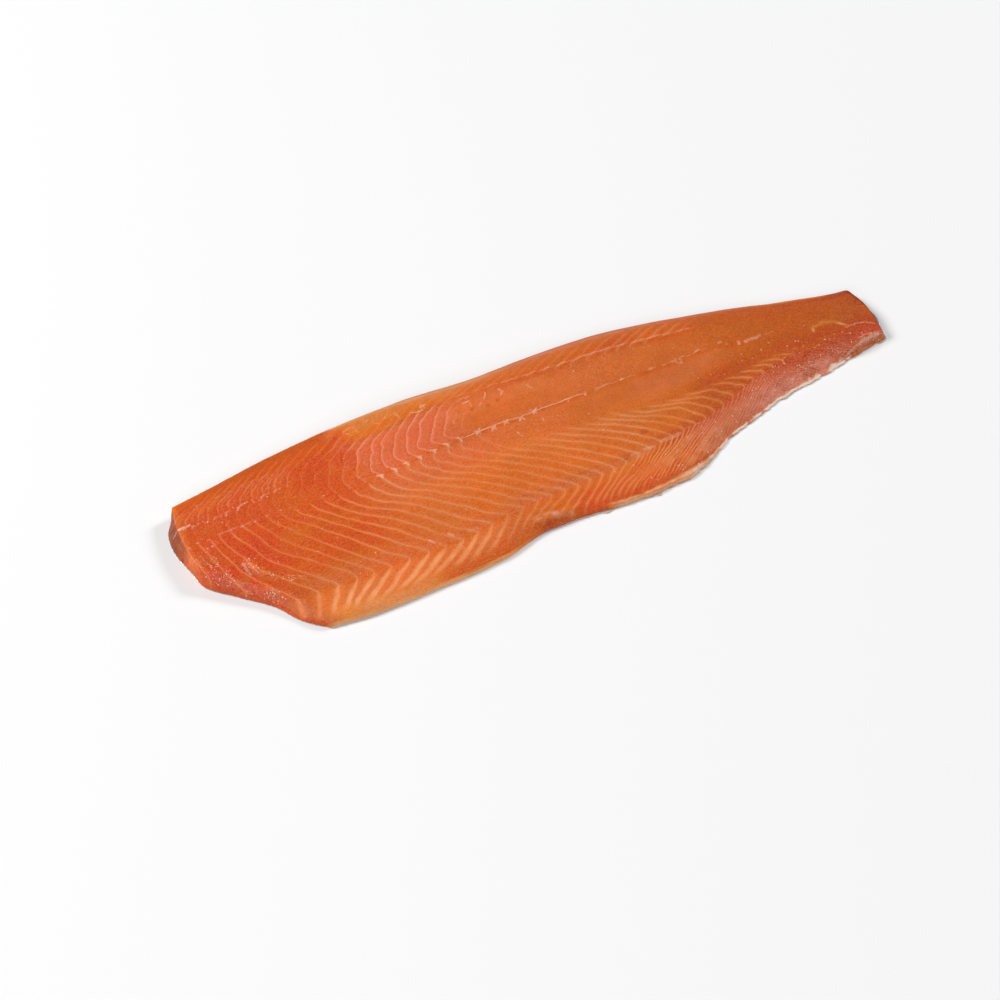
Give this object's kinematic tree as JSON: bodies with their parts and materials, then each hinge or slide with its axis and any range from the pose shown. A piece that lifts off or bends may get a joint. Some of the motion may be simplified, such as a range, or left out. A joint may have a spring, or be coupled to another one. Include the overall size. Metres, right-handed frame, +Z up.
{
  "type": "smoked salmon side",
  "caption": "Trimmed smoked salmon side, flesh side up on its skin, carved down at the head end, tapering to a cut tail.",
  "frame": {"origin": "under the middle of the side, on the plane that it rests on", "axes": "+X from the cut head end to the tail, +Y from the belly edge to the back edge, +Z up from the skin to the flesh"},
  "size_m": [0.5524, 0.1554, 0.0247],
  "materials": {
    "flesh": "moist, softly glossy smoked fish flesh with pale lines between the flakes"
  },
  "bodies": {
    "root": {"salmon_side": "flesh"}
  },
  "joints": []
}
